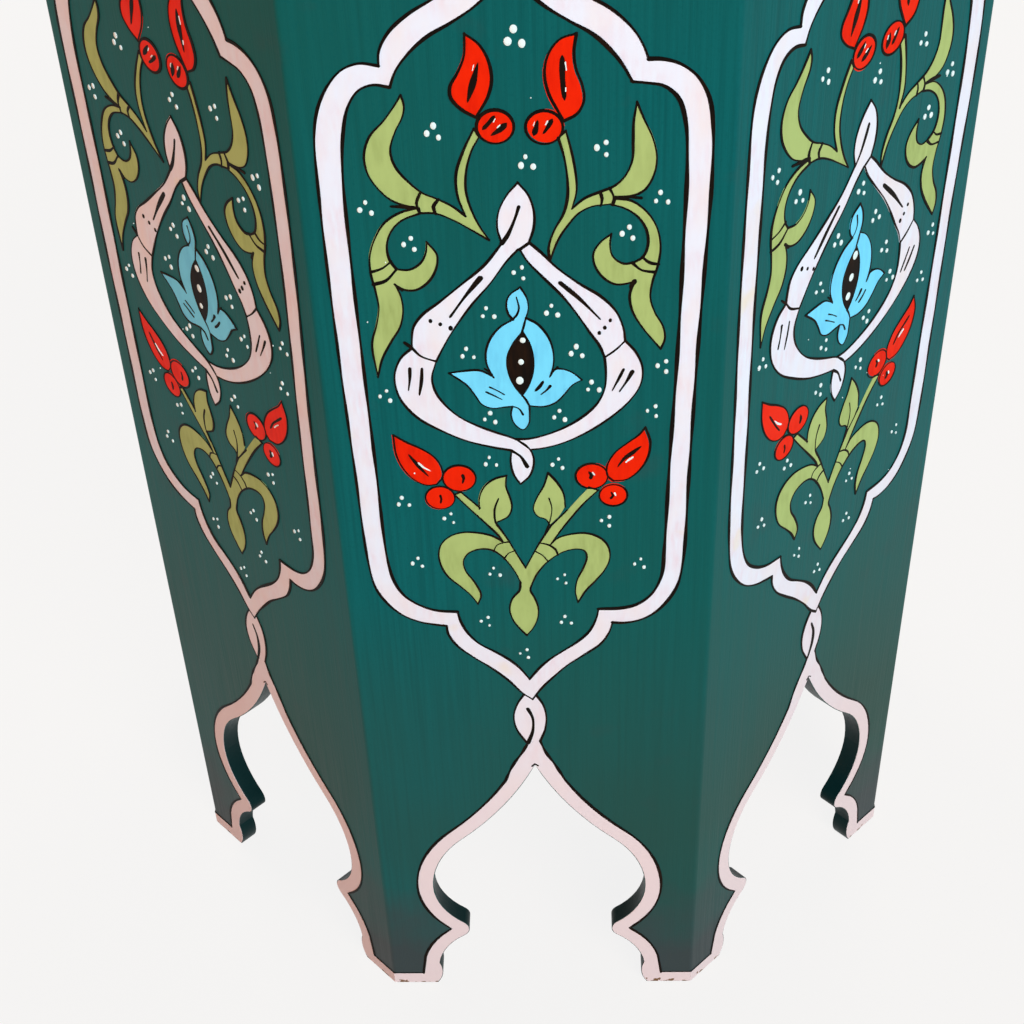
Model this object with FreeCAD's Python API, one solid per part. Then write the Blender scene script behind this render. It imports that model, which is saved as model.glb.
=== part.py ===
"""Octagonal painted wooden side table with an ogee arch cut into the foot of each side panel.

Frame: millimetres, +Z up, origin on the floor at the middle of the feet, front panel facing -Y.
"""

import FreeCAD
import Part

import math
import os

Vec = FreeCAD.Vector

# Driving dimensions
SIDES = 8
PANEL_WIDTH = 150.0  # outer width of one side panel
PANEL_THICKNESS = 9.0
PANEL_HEIGHT = 580.0
ARRIS_RADIUS = 3.0  # rounding of the outer corner where two panels meet

# Arch cut from the foot of each panel: half outline, measured from the panel's centre line and the floor
FOOT_INNER = 53.0  # half width of the opening on the floor
TOE_SIDE = (50.0, 9.0)
TOE_TOP = (51.2, 16.5)  # small notch where the rounded toe meets the hollow of the foot
FOOT_CURVE_MID = (47.0, 29.0)
NOSE_LOWER = (37.4, 39.4)
NOSE_TIP = (35.0, 44.6)
BULB_HEIGHT = 77.5  # height of the widest place of the arch
BULB_HALF_WIDTH = 50.8
LOWER_BULB_RADIUS = 36.0
NOSE_UPPER_HEIGHT = 49.2
UPPER_BULB_RADIUS = 49.0
OGEE_START_HEIGHT = 113.0  # where the round bulb turns into the hollow ogee curve
ARCH_APEX_HEIGHT = 165.0

# Table top: planks joined edge to edge with loose tongues
TOP_THICKNESS = 20.0
TOP_OVERHANG = 20.0
TOP_UPPER_ROUND = 6.0
TOP_LOWER_ROUND = 3.0
MIDDLE_PLANK_WIDTH = 134.0
TONGUE_WIDTH = 14.0
TONGUE_THICKNESS = 6.0
TONGUE_END_MARGIN = 16.0  # the tongue stops this far inside the plank's end

# Cleats nailed round the inside of the panels, which carry the top
CLEAT_DEPTH = 18.0
CLEAT_HEIGHT = 20.0

# Glue strips behind the mitred corners
STRIP_LEG = 16.0  # width of the strip along each of its two panels
STRIP_DEPTH = 7.0
STRIP_BOTTOM = 185.0

# Wood screws up through the cleats into the top
SCREW_RADIUS = 2.0
SCREW_HEAD_RADIUS = 4.0
SCREW_HEAD_DEPTH = 2.5
SCREW_LENGTH = 33.0
SCREW_OFFSET = 44.0  # either side of the cleat's middle

# Wire nails, and the headless brads in the glue strips
NAIL_RADIUS = 0.9
NAIL_HEAD_RADIUS = 2.0
NAIL_HEAD_THICKNESS = 0.8
NAIL_BITE = 6.0  # length of the nail inside the panel
CLEAT_NAIL_OFFSET = 20.0
BRAD_ALONG = 10.0  # from the inside corner along each panel
BRAD_PROUD = 0.8
BRAD_HEIGHTS = (230.0, 370.0, 510.0)
BRAD_STAGGER = 14.0  # the brads into the two panels miss each other by this height

# Worked out from the driving dimensions
HALF_ANGLE = math.pi / SIDES
STEP_DEGREES = 360.0 / SIDES
OUTER_APOTHEM = PANEL_WIDTH / 2 / math.tan(HALF_ANGLE)
INNER_APOTHEM = OUTER_APOTHEM - PANEL_THICKNESS
TOP_APOTHEM = OUTER_APOTHEM + TOP_OVERHANG
CLEAT_BOTTOM = PANEL_HEIGHT - CLEAT_HEIGHT
TABLE_HEIGHT = PANEL_HEIGHT + TOP_THICKNESS
SEAM_OFFSET = MIDDLE_PLANK_WIDTH / 2

SIDE_NAMES = (
    "front",
    "front_right",
    "right",
    "back_right",
    "back",
    "back_left",
    "left",
    "front_left",
)


def turned(shape, index):
    """A copy of a shape made for the front side, turned to side number index."""
    copy = shape.copy()
    copy.rotate(Vec(0, 0, 0), Vec(0, 0, 1), STEP_DEGREES * index)
    return copy


def corner_point(radius, angle):
    """A point in plan, at an angle from the front direction -Y towards +X."""
    return Vec(radius * math.sin(angle), -radius * math.cos(angle), 0)


def polygon_prism(points, height):
    """A closed straight-sided outline in plan, raised to a solid."""
    face = Part.Face(Part.makePolygon(points + points[:1]))
    return face.extrude(Vec(0, 0, height))


def mitred_bar(outer_apothem, depth, height):
    """A bar lying along the front side, mitred at both ends to meet its neighbours."""
    outer_radius = outer_apothem / math.cos(HALF_ANGLE)
    inner_radius = (outer_apothem - depth) / math.cos(HALF_ANGLE)
    points = [
        corner_point(outer_radius, -HALF_ANGLE),
        corner_point(outer_radius, HALF_ANGLE),
        corner_point(inner_radius, HALF_ANGLE),
        corner_point(inner_radius, -HALF_ANGLE),
    ]
    return polygon_prism(points, height)


def arch_point(across, height):
    """A point of the arch outline, in the plane of the front panel's outer face."""
    return Vec(across, -OUTER_APOTHEM, height)


def three_point_arc(start, middle, end):
    """An arc edge of the arch through three points."""
    return Part.Arc(arch_point(*start), arch_point(*middle), arch_point(*end)).toShape()


def centred_arc(centre, start, end):
    """The short arc edge of the arch about a centre, from start to end."""
    radius = math.dist(centre, start)
    towards = ((start[0] + end[0]) / 2 - centre[0], (start[1] + end[1]) / 2 - centre[1])
    stretch = radius / math.hypot(*towards)
    middle = (centre[0] + towards[0] * stretch, centre[1] + towards[1] * stretch)
    return three_point_arc(start, middle, end)


def right_of_circle(centre, radius, height):
    """The point at a given height on the right side of a circle."""
    return centre[0] + math.sqrt(radius**2 - (height - centre[1]) ** 2), height


def reversing_centre(centre, start, end):
    """Centre of the arc that leaves a circle smoothly at start, bends the other way and reaches end."""
    radius = math.dist(centre, start)
    outward = ((start[0] - centre[0]) / radius, (start[1] - centre[1]) / radius)
    back = (start[0] - end[0], start[1] - end[1])
    reach = -(back[0] ** 2 + back[1] ** 2) / (2 * (back[0] * outward[0] + back[1] * outward[1]))
    return start[0] + reach * outward[0], start[1] + reach * outward[1]


def half_arch():
    """Edges of the right half of the arch, from the floor to the apex."""
    floor = (FOOT_INNER, 0.0)
    widest = (BULB_HALF_WIDTH, BULB_HEIGHT)
    apex = (0.0, ARCH_APEX_HEIGHT)
    lower_centre = (BULB_HALF_WIDTH - LOWER_BULB_RADIUS, BULB_HEIGHT)
    upper_centre = (BULB_HALF_WIDTH - UPPER_BULB_RADIUS, BULB_HEIGHT)
    nose_upper = right_of_circle(lower_centre, LOWER_BULB_RADIUS, NOSE_UPPER_HEIGHT)
    ogee_start = right_of_circle(upper_centre, UPPER_BULB_RADIUS, OGEE_START_HEIGHT)
    ogee_centre = reversing_centre(upper_centre, ogee_start, apex)
    return [
        three_point_arc(floor, TOE_SIDE, TOE_TOP),
        three_point_arc(TOE_TOP, FOOT_CURVE_MID, NOSE_LOWER),
        three_point_arc(NOSE_LOWER, NOSE_TIP, nose_upper),
        centred_arc(lower_centre, nose_upper, widest),
        centred_arc(upper_centre, widest, ogee_start),
        centred_arc(ogee_centre, ogee_start, apex),
    ]


def arch_cutter():
    """The whole arch as a solid that passes through the front panel."""
    right = half_arch()
    left = [edge.mirror(Vec(0, 0, 0), Vec(1, 0, 0)) for edge in right]
    sill = Part.makeLine(arch_point(-FOOT_INNER, 0.0), arch_point(FOOT_INNER, 0.0))
    outline = Part.Wire(Part.__sortEdges__(right + left + [sill]))
    return Part.Face(outline).extrude(Vec(0, PANEL_THICKNESS, 0))


def panel_plan():
    """Plan of the front panel: mitred ends, and outer corners rounded up to the mitre plane."""
    outer_radius = OUTER_APOTHEM / math.cos(HALF_ANGLE)
    inner_radius = INNER_APOTHEM / math.cos(HALF_ANGLE)
    round_centre_radius = outer_radius - ARRIS_RADIUS / math.cos(HALF_ANGLE)
    half_flat = PANEL_WIDTH / 2 - ARRIS_RADIUS * math.tan(HALF_ANGLE)

    def arris(side):
        centre = corner_point(round_centre_radius, side * HALF_ANGLE)
        start = Vec(side * half_flat, -OUTER_APOTHEM, 0)
        middle = centre + corner_point(ARRIS_RADIUS, side * HALF_ANGLE / 2)
        end = centre + corner_point(ARRIS_RADIUS, side * HALF_ANGLE)
        return Part.Arc(start, middle, end).toShape(), start, end

    right_arc, right_start, right_end = arris(1)
    left_arc, left_start, left_end = arris(-1)
    right_inner = corner_point(inner_radius, HALF_ANGLE)
    left_inner = corner_point(inner_radius, -HALF_ANGLE)
    edges = [
        Part.makeLine(left_start, right_start),
        right_arc,
        Part.makeLine(right_end, right_inner),
        Part.makeLine(right_inner, left_inner),
        Part.makeLine(left_inner, left_end),
        left_arc,
    ]
    return Part.Wire(Part.__sortEdges__(edges))


def front_panel():
    """The front side panel with its arch."""
    board = Part.Face(panel_plan()).extrude(Vec(0, 0, PANEL_HEIGHT))
    return board.cut(arch_cutter())


def inner_corner():
    """The inside corner after the front panel, and its two panels' directions, along and inwards."""
    corner = corner_point(INNER_APOTHEM / math.cos(HALF_ANGLE), HALF_ANGLE)
    turn = 2 * HALF_ANGLE
    front = (Vec(-1, 0, 0), Vec(0, 1, 0))
    following = (Vec(math.cos(turn), math.sin(turn), 0), Vec(-math.sin(turn), math.cos(turn), 0))
    return corner, front, following


def corner_strip():
    """The glue strip in the inside corner between the front panel and the next one."""
    corner, (along_front, into_front), (along_next, into_next) = inner_corner()
    on_front = corner + along_front * STRIP_LEG
    on_next = corner + along_next * STRIP_LEG
    points = [
        corner,
        on_next,
        on_next + into_next * STRIP_DEPTH,
        on_front + into_front * STRIP_DEPTH,
        on_front,
    ]
    strip = polygon_prism(points, CLEAT_BOTTOM - STRIP_BOTTOM)
    strip.translate(Vec(0, 0, STRIP_BOTTOM))
    return strip


def front_cleat():
    """The batten that joins the front panel to the table top."""
    cleat = mitred_bar(INNER_APOTHEM, CLEAT_DEPTH, CLEAT_HEIGHT)
    cleat.translate(Vec(0, 0, CLEAT_BOTTOM))
    return cleat


def nail(head_point, direction, length):
    """A flat-headed nail: the head lies on the wood, and the shank runs into it along direction."""
    shank = Part.makeCylinder(NAIL_RADIUS, length, head_point, direction)
    head_base = head_point - direction * NAIL_HEAD_THICKNESS
    head = Part.makeCylinder(NAIL_HEAD_RADIUS, NAIL_HEAD_THICKNESS, head_base, direction)
    return head.fuse(shank).removeSplitter()


def front_cleat_nails():
    """Nails through the front cleat into the front panel."""
    depth = INNER_APOTHEM - CLEAT_DEPTH
    height = CLEAT_BOTTOM + CLEAT_HEIGHT / 2
    heads = [Vec(side * CLEAT_NAIL_OFFSET, -depth, height) for side in (-1, 1)]
    return [nail(head, Vec(0, -1, 0), CLEAT_DEPTH + NAIL_BITE) for head in heads]


def corner_strip_brads():
    """Headless nails through one glue strip into the two panels that it joins."""
    corner, front, following = inner_corner()
    depth = STRIP_DEPTH + (STRIP_LEG - BRAD_ALONG) * math.tan(HALF_ANGLE) + BRAD_PROUD
    brads = []
    for height in BRAD_HEIGHTS:
        for (along, into), lift in ((front, 0.0), (following, BRAD_STAGGER)):
            start = corner + along * BRAD_ALONG + into * depth + Vec(0, 0, height + lift)
            brads.append(Part.makeCylinder(NAIL_RADIUS, depth + NAIL_BITE, start, into * -1))
    return brads


def screw(point):
    """A countersunk wood screw whose head is flush with the underside of a cleat at point."""
    head = Part.makeCone(SCREW_HEAD_RADIUS, SCREW_RADIUS, SCREW_HEAD_DEPTH, point)
    shank_base = point + Vec(0, 0, SCREW_HEAD_DEPTH)
    shank = Part.makeCylinder(SCREW_RADIUS, SCREW_LENGTH - SCREW_HEAD_DEPTH, shank_base)
    return head.fuse(shank).removeSplitter()


def front_screws():
    """Screws up through the front cleat into the table top."""
    apothem = INNER_APOTHEM - CLEAT_DEPTH / 2
    return [screw(Vec(side * SCREW_OFFSET, -apothem, CLEAT_BOTTOM)) for side in (-1, 1)]


def rim(solid, height):
    """The edges of a solid that lie flat at a height."""
    return [edge for edge in solid.Edges if all(abs(v.Z - height) < 1e-6 for v in edge.Vertexes)]


def top_blank():
    """The whole octagonal top with its rounded edges, before it is divided into planks."""
    radius = TOP_APOTHEM / math.cos(HALF_ANGLE)
    corners = [corner_point(radius, (2 * k + 1) * HALF_ANGLE) for k in range(SIDES)]
    blank = polygon_prism(corners, TOP_THICKNESS)
    blank.translate(Vec(0, 0, PANEL_HEIGHT))
    blank = blank.makeFillet(TOP_UPPER_ROUND, rim(blank, TABLE_HEIGHT))
    return blank.makeFillet(TOP_LOWER_ROUND, rim(blank, PANEL_HEIGHT))


def tongue(seam):
    """The loose tongue in the joint between two planks, at y = seam."""
    length = 2 * (TOP_APOTHEM - TONGUE_END_MARGIN)
    low = PANEL_HEIGHT + (TOP_THICKNESS - TONGUE_THICKNESS) / 2
    base = Vec(-length / 2, seam - TONGUE_WIDTH / 2, low)
    return Part.makeBox(length, TONGUE_WIDTH, TONGUE_THICKNESS, base)


def plank(blank, y_low, y_high):
    """The slice of the top between two seams."""
    span = 2 * TOP_APOTHEM
    slab = Part.makeBox(span, y_high - y_low, TOP_THICKNESS, Vec(-span / 2, y_low, PANEL_HEIGHT))
    return blank.common(slab)


def all_round(front_shapes):
    """The front side's shapes repeated on every side."""
    return [turned(shape, k) for k in range(SIDES) for shape in front_shapes]


def without(wood, pieces):
    """Wood with the places of the given pieces cut out of it."""
    near = [p for p in pieces if wood.BoundBox.intersect(p.BoundBox)]
    return wood.cut(near) if near else wood


def build():
    """Every node of the table, by name."""
    nodes = {}
    screws = all_round(front_screws())
    cleat_nails = all_round(front_cleat_nails())
    strip_brads = all_round(corner_strip_brads())
    metal = screws + cleat_nails + strip_brads

    panel = front_panel()
    cleat = front_cleat()
    strip = corner_strip()
    for index, side in enumerate(SIDE_NAMES):
        nodes["panel_" + side] = without(turned(panel, index), metal)
        nodes["cleat_" + side] = without(turned(cleat, index), metal)
        nodes[f"corner_strip_{index + 1}"] = without(turned(strip, index), metal)

    tongues = {"top_tongue_front": tongue(-SEAM_OFFSET), "top_tongue_back": tongue(SEAM_OFFSET)}
    nodes.update(tongues)
    blank = top_blank()
    slices = {
        "top_plank_front": (-TOP_APOTHEM, -SEAM_OFFSET),
        "top_plank_middle": (-SEAM_OFFSET, SEAM_OFFSET),
        "top_plank_back": (SEAM_OFFSET, TOP_APOTHEM),
    }
    for name, (y_low, y_high) in slices.items():
        nodes[name] = without(plank(blank, y_low, y_high), list(tongues.values()) + screws)

    nodes["top_screws"] = Part.makeCompound(screws)
    nodes["cleat_nails"] = Part.makeCompound(cleat_nails)
    nodes["strip_brads"] = Part.makeCompound(strip_brads)
    return nodes


def main():
    os.makedirs("parts", exist_ok=True)
    for name, shape in build().items():
        problems = "" if shape.isValid() else "  NOT VALID"
        print(f"{name}: {len(shape.Solids)} solid, {shape.Volume / 1000:.2f} cm3{problems}")
        shape.exportStep(f"parts/{name}.step")


main()
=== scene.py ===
"""An octagonal painted wooden side table: its paint and ornament, the floor, the light and the camera.

The ornament is drawn in millimetres on a board seen from outside: u runs to the right from the board's
middle line and z runs up from the floor. On the table top, u and z are x and y from its middle.
Everything in the scene is in metres.
"""
import math
import random

import bmesh
import bpy
from mathutils import Matrix, Vector
from mathutils.geometry import tessellate_polygon


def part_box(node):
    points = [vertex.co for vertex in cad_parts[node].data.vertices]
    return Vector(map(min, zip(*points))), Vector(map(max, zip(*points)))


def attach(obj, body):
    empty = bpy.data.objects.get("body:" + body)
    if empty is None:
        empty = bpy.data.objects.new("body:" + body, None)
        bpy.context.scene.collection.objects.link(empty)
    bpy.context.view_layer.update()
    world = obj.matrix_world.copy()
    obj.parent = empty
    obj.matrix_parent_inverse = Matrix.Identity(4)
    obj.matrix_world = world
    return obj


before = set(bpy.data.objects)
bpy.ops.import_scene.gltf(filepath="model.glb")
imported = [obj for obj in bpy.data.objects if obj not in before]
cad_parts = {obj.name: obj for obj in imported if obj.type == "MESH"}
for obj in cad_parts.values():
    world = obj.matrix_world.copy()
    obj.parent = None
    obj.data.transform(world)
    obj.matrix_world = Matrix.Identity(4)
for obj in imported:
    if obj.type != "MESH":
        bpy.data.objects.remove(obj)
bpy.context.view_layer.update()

MM = 0.001
SIDES = ("front", "front_right", "right", "back_right", "back", "back_left", "left", "front_left")
FACE_TURN = math.tau / len(SIDES)

board_low, board_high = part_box("panel_front")
APOTHEM = -board_low.y / MM
HALF_BOARD = APOTHEM * math.tan(FACE_TURN / 2)
BOARD_TOP = board_high.z / MM
TOP_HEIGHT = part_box("top_plank_middle")[1].z / MM
TOP_APOTHEM = -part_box("top_plank_front")[0].y / MM

# Paint, in mm: how far it stands proud of the wood, and how deep its closed skin reaches below
PAINT_LIFT = 0.16
LEVEL_STEP = 0.04
LINE_LIFT = 0.30
HIGHLIGHT_LIFT = 0.34
SUNK = 0.5

# An edge of the paint that bends by more than this is shaded as sharp
SHARP_EDGE = math.radians(35)

# Sections of a stroke and of a dot: the share of its half width, and the height above its rim in mm
STROKE_SECTION = ((1, -SUNK - LINE_LIFT), (0.8, 0), (-0.8, 0), (-1, -SUNK - LINE_LIFT))
DOT_SECTION = ((1, 0), (0.8, 0.12), (0.45, 0.2))

# Brushwork, with lengths in mm
CURVE_STEP = 1.2
CIRCLE_POINTS = 28
SAME_POINT = 1e-6
BAND_LINE = 1.3
ARCH_LINE = 1.2
MOTIF_LINE = 0.95
SPRAY_LINE = 0.85
FINE_LINE = 0.8
EDGE_LINE = 0.3
CURL_LINE = 1.6
KNOT_LINE = 1.3
LONG_SLIT = 1.9
SHORT_SLIT = 1.3
STROKE_RANGE = (0.82, 1.2)
STROKE_SWELL = 0.28
STROKE_SWELL_LENGTH = 32
SLIT_TAPER = (1.15, 0.55)
LENS_TAPER = (0.2, 0.85)
END_SHARES = ((0.5, 0.25), (0.28, 0.8))
HAND_WOBBLE = 0.5
HAND_WAVE = 33
HAND_RIPPLE = 19
RIPPLE_SHARE = 0.6
STEADY_BELOW = 185
FREE_ABOVE = 245
HAND_SLIP = 0.35
BUD_SLIP = 0.7
LOW_DOT_RADIUS = 0.6
HIGH_DOT_RADIUS = 0.9
DOT_RANGE = (0.8, 1.2)
DOT_TALL = 1.25
DOT_SIDES = 12
SPOT_RADIUS = 0.75
SEED_DOT_RADIUS = 1.3
SPECKS = 9
SPECK_RADII = (0.15, 0.32)
SPECK_LIFT = 0.1
SPECK_SPREAD = 0.75

# Seeds of the painter's hand, for the boards, the top, and the sprays and flowers on the top
BOARD_SEED = 20
TOP_SEED = 90
SPRAY_SEED = 100
FLOWER_SEED = 120

# Arch on each board, in mm: its white band, and the white edge of the feet
SAME_PLANE = 0.01
SET_IN_SLACK = 0.1
CORNER_LAP = 0.05
ARCH_BAND = 7.8
ARCH_BAND_TOP = 155
TOE_TOP = 18
FOOT_LINE_END = 60
EDGE_INSET = 0.35
FOOT_BAND = 8
FLOOR_CLEARANCE = 0.3
APEX_NOTCH = ((-1.3, -0.6), (0, 0.9), (1.4, -0.3))

# Table top, in mm: its border is measured from the edge, and the rest from the middle
BORDER_INSETS = (14, 22)
RING_RADII = (58, 51)
RING_POINTS = 96
MIDDLE_BERRY = 4.5
MIDDLE_FLOWERS = 4
MIDDLE_DOTS_AT = 32
LOBE_DOTS_AT = 140
CORNER_DOTS_AT = 178
CORNER_DOT_RADIUS = 1.3
SPRAY_ON_TOP = {"scale": 0.5, "middle": (-1, 247), "start": 62}
FLOWER_ON_TOP = {"scale": 0.6, "middle": (-1, 357), "start": 7}

# Sockets of a mix node that hold colours: its two inputs and its result
MIX_FIRST, MIX_SECOND, MIX_RESULT = 6, 7, 2

# Finish of the surfaces: their shine, and the part of a noise that roughens them
ROUGHNESS = 0.4
SPECULAR = 0.3
PAINT_SPECULAR = 0.06
BLACK_SPECULAR = 0.03
ROUGHENING = (0.3, 0.7)

# Colour by the height above the floor, in metres: where it starts on the way down, and where it is full.
# The rubbed and dusty tones on the low boards are wear and also a painted reflection of the floor there,
# the tinted white is pinker low down, and the chips are wear
RUBBED_AND_SHEEN = (0.27, 0.12)
DUSTY_AND_SHEEN = (0.095, 0.005)
TINTED = (0.28, 0.10)
CHIPPED = (0.010, 0.001)

# How squarely a face looks outwards to count as a board's front, where less gets the painted shade of an
# edge, and inwards or down as its bare back
FACING = 0.6

# Stretch of the grain and of the brush marks, along a board or level
ALONG_X = (0.025, 1, 1)
ALONG_Z = (1, 1, 0.02)
LEVEL = (0.12, 0.12, 1)

# Colours
LIGHT = (1, 1, 1)
TEAL = (0.002, 0.110, 0.114)
TEAL_DARK = (0.001, 0.083, 0.086)
TEAL_GREEN = (0.006, 0.086, 0.071)
# The worn teal and the slate dust, low on the boards, are wear and also a painted reflection of the floor
TEAL_WORN_AND_SHEEN = (0.018, 0.064, 0.052)
SLATE_DUST_AND_SHEEN = (0.040, 0.050, 0.054)
# Painted shade on the edges of the boards, which darkens the arches
TEAL_PAINTED_SHADE = (0.003, 0.020, 0.021)
WOOD_LIGHT = (0.52, 0.35, 0.19)
WOOD_DARK = (0.34, 0.20, 0.095)
CHIP_BROWN = (0.20, 0.10, 0.045)
WHITE = (0.79, 0.82, 0.935)
WHITE_THIN = (0.78, 0.68, 0.78)
WHITE_BLUSH = (0.83, 0.74, 0.76)
WHITE_LOW = (0.82, 0.67, 0.69)
CREAM_STAIN = (0.83, 0.72, 0.52)
LEAF = (0.40, 0.505, 0.178)
LEAF_THIN = (0.31, 0.39, 0.13)
RED = (0.82, 0.018, 0.001)
RED_THIN = (0.66, 0.010, 0.001)
BLUE = (0.185, 0.70, 0.98)
BLUE_THIN = (0.14, 0.56, 0.85)
BLACK = (0.006, 0.004, 0.003)
BLACK_THIN = (0.018, 0.008, 0.004)
DOT = (0.79, 0.91, 0.92)
DOT_THIN = (0.70, 0.84, 0.84)
STEEL_DARK = (0.30, 0.29, 0.28)
STEEL_LIGHT = (0.52, 0.51, 0.49)
FLOOR_WARM = (0.42, 0.32, 0.25)
FLOOR_PALE = (0.46, 0.35, 0.27)

# Floor, in metres, a hair below the feet
FLOOR_RADIUS = 9
FLOOR_SIDES = 96
FLOOR_DROP = 0.0003

# Light: the world's, what the camera sees of it, and the share of the floor that glows
WORLD_LIGHT = 0.06
HORIZON = 0.88
FLOOR_GLOW = 0.86

# Lamps, in metres and watts. They point at the middle of the boards
LAMP_AIM = (0, 0, 0.3)
LAMPS = {
    "key": {"place": (1.5, -3.05, 2.2), "size": 2.2, "power": 167, "colour": (0.9, 0.98, 1)},
    "back_fill": {"place": (0.9, 2.0, 1.9), "size": 1.6, "power": 40, "colour": (1, 1, 1)},
    "left_fill": {"place": (-1.9, 2.3, 1.5), "size": 1.6, "power": 75, "colour": (0.92, 0.98, 1)},
}

# Warm light that comes level from the left, so that it reaches the boards alone, in watts per square metre
WARM_FROM = (-2.0, -0.6, 0)
WARM_POWER = 1.35
WARM_COLOUR = (1, 0.3, 0.05)
WARM_SPREAD = math.radians(8)

# Camera, in metres and degrees, with its lens and sensor in mm
CAMERA_SENSOR = 36
CAMERA_NEAR = 0.01
CAMERA_PLACE = (0.0184, -0.7341, 0.7919)
CAMERA_YAW = math.radians(-2.49)
CAMERA_PITCH = math.radians(40.72)
CAMERA_ROLL = math.radians(-2.36)
CAMERA_LENS = 64.68


def between(p, q, start, end, t):
    """The point on the line from p to q at t, where p is at start and q at end."""
    share = (t - start) / (end - start)
    return p[0] + (q[0] - p[0]) * share, p[1] + (q[1] - p[1]) * share


def turned(point, turn):
    """The point, turned about the origin."""
    return (point[0] * math.cos(turn) - point[1] * math.sin(turn),
            point[0] * math.sin(turn) + point[1] * math.cos(turn))


def smooth(points):
    """A rounded curve through the points, as a row of close points."""
    if len(points) < 3:
        return list(points)
    before = between(points[0], points[1], 0, 1, -1)
    after = between(points[-1], points[-2], 0, 1, -1)
    chain = [before, *points, after]
    curve = [points[0]]
    for a, b, c, d in zip(chain, chain[1:], chain[2:], chain[3:]):
        k1 = math.sqrt(math.dist(a, b))
        k2 = k1 + math.sqrt(math.dist(b, c))
        k3 = k2 + math.sqrt(math.dist(c, d))
        count = max(1, round(math.dist(b, c) / CURVE_STEP))
        for i in range(1, count + 1):
            t = k1 + (k2 - k1) * i / count
            ab = between(a, b, 0, k1, t)
            bc = between(b, c, k1, k2, t)
            cd = between(c, d, k2, k3, t)
            curve.append(between(between(ab, bc, 0, k2, t), between(bc, cd, k1, k3, t), k1, k2, t))
    return curve


def outline(*sides):
    """A closed outline of smooth sides. Each side starts where the one before it ends."""
    starts = [sides[-1][-1]] + [side[-1] for side in sides[:-1]]
    return [smooth([start, *side]) for start, side in zip(starts, sides)]


def loop_of(sides):
    """All points of a closed outline, each once."""
    return [point for side in sides for point in side[1:]]


def circle(u, z, radius, points=CIRCLE_POINTS):
    """A closed round outline with one side."""
    turns = [math.tau * i / points for i in range(points + 1)]
    return [[(u + radius * math.cos(t), z + radius * math.sin(t)) for t in turns]]


CARTOUCHE_OUTER = outline(
    [(-4.2, 211.8), (-10, 219.8), (-17, 227.4), (-24.5, 234.2), (-31, 241), (-34.5, 248), (-35, 253)],
    [(-39, 253.7), (-46, 255.5), (-53, 259.5), (-59, 266.5), (-63, 275), (-65, 290), (-66.3, 340),
     (-67.5, 395), (-68, 460), (-67.2, 485), (-65, 495), (-61, 503), (-56, 508.5), (-50, 510.8),
     (-43.5, 509.8)],
    [(-43, 515), (-39.5, 521.5), (-33, 527.5), (-24, 533), (-14, 540), (-7, 547), (0, 556)],
    [(7, 547), (14, 540), (24, 533.5), (33, 528), (40, 521), (43.5, 515), (45.2, 510.3)],
    [(49.5, 510.2), (55.5, 508.4), (61.3, 503.8), (65.5, 496), (67.2, 485), (67.6, 465), (66.5, 430),
     (65, 385), (63.8, 330), (63, 290), (61, 275), (57, 266), (51.5, 259), (45, 255), (38.5, 253.7),
     (34.5, 254)],
    [(33, 248), (29.5, 241.5), (22.5, 235), (15.5, 229), (9.5, 222), (4.5, 215.5), (0, 208)],
)
CARTOUCHE_INNER = outline(
    [(-5.5, 228), (-10, 233), (-15.5, 237.5), (-22, 242.5), (-26.5, 249), (-29, 255.5), (-30, 261)],
    [(-39, 262), (-45.5, 265), (-51.5, 270.5), (-55, 278), (-57, 290), (-58, 340), (-58.8, 390),
     (-59.3, 440), (-59, 470), (-57.5, 485), (-55, 495), (-51, 501), (-46, 503), (-40.4, 502)],
    [(-38, 508), (-33, 514.5), (-27, 519.8), (-19, 524.5), (-11, 530), (-5, 536), (0, 543)],
    [(5, 536), (11, 530), (19, 524.5), (27, 519.5), (33, 513.5), (37, 508), (40, 502.3)],
    [(45, 501.7), (50.5, 500.5), (55.3, 496), (58, 487), (59, 472), (58.7, 440), (57.8, 390),
     (56.2, 340), (55.2, 295), (54.3, 280), (50.5, 270), (45, 264.5), (39, 262.3), (28.7, 261.8)],
    [(27.5, 255.5), (24.5, 248.5), (19.5, 242.5), (13.5, 237.3), (8.5, 233), (4, 228), (-1, 220.5)],
)
LINK_LOOP = outline(
    [(-6.6, 205.3), (-8.5, 197), (-7.3, 188.5), (-3.4, 180.3)],
    [(2.7, 181)],
    [(5, 188.5), (5.7, 197), (4.4, 204.5), (1.6, 210.5)],
    [(0, 212)],
    [(-3.6, 211)],
)
LINK_LINE = [(-2.2, 201.8), (-0.3, 196), (-0.4, 188), (-2.6, 180)]
NECK_LEFT = [(-5.4, 173.6), (-9.8, 165.2)]
NECK_RIGHT = [(8.6, 166.2), (5, 173.6), (2.7, 181)]

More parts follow.
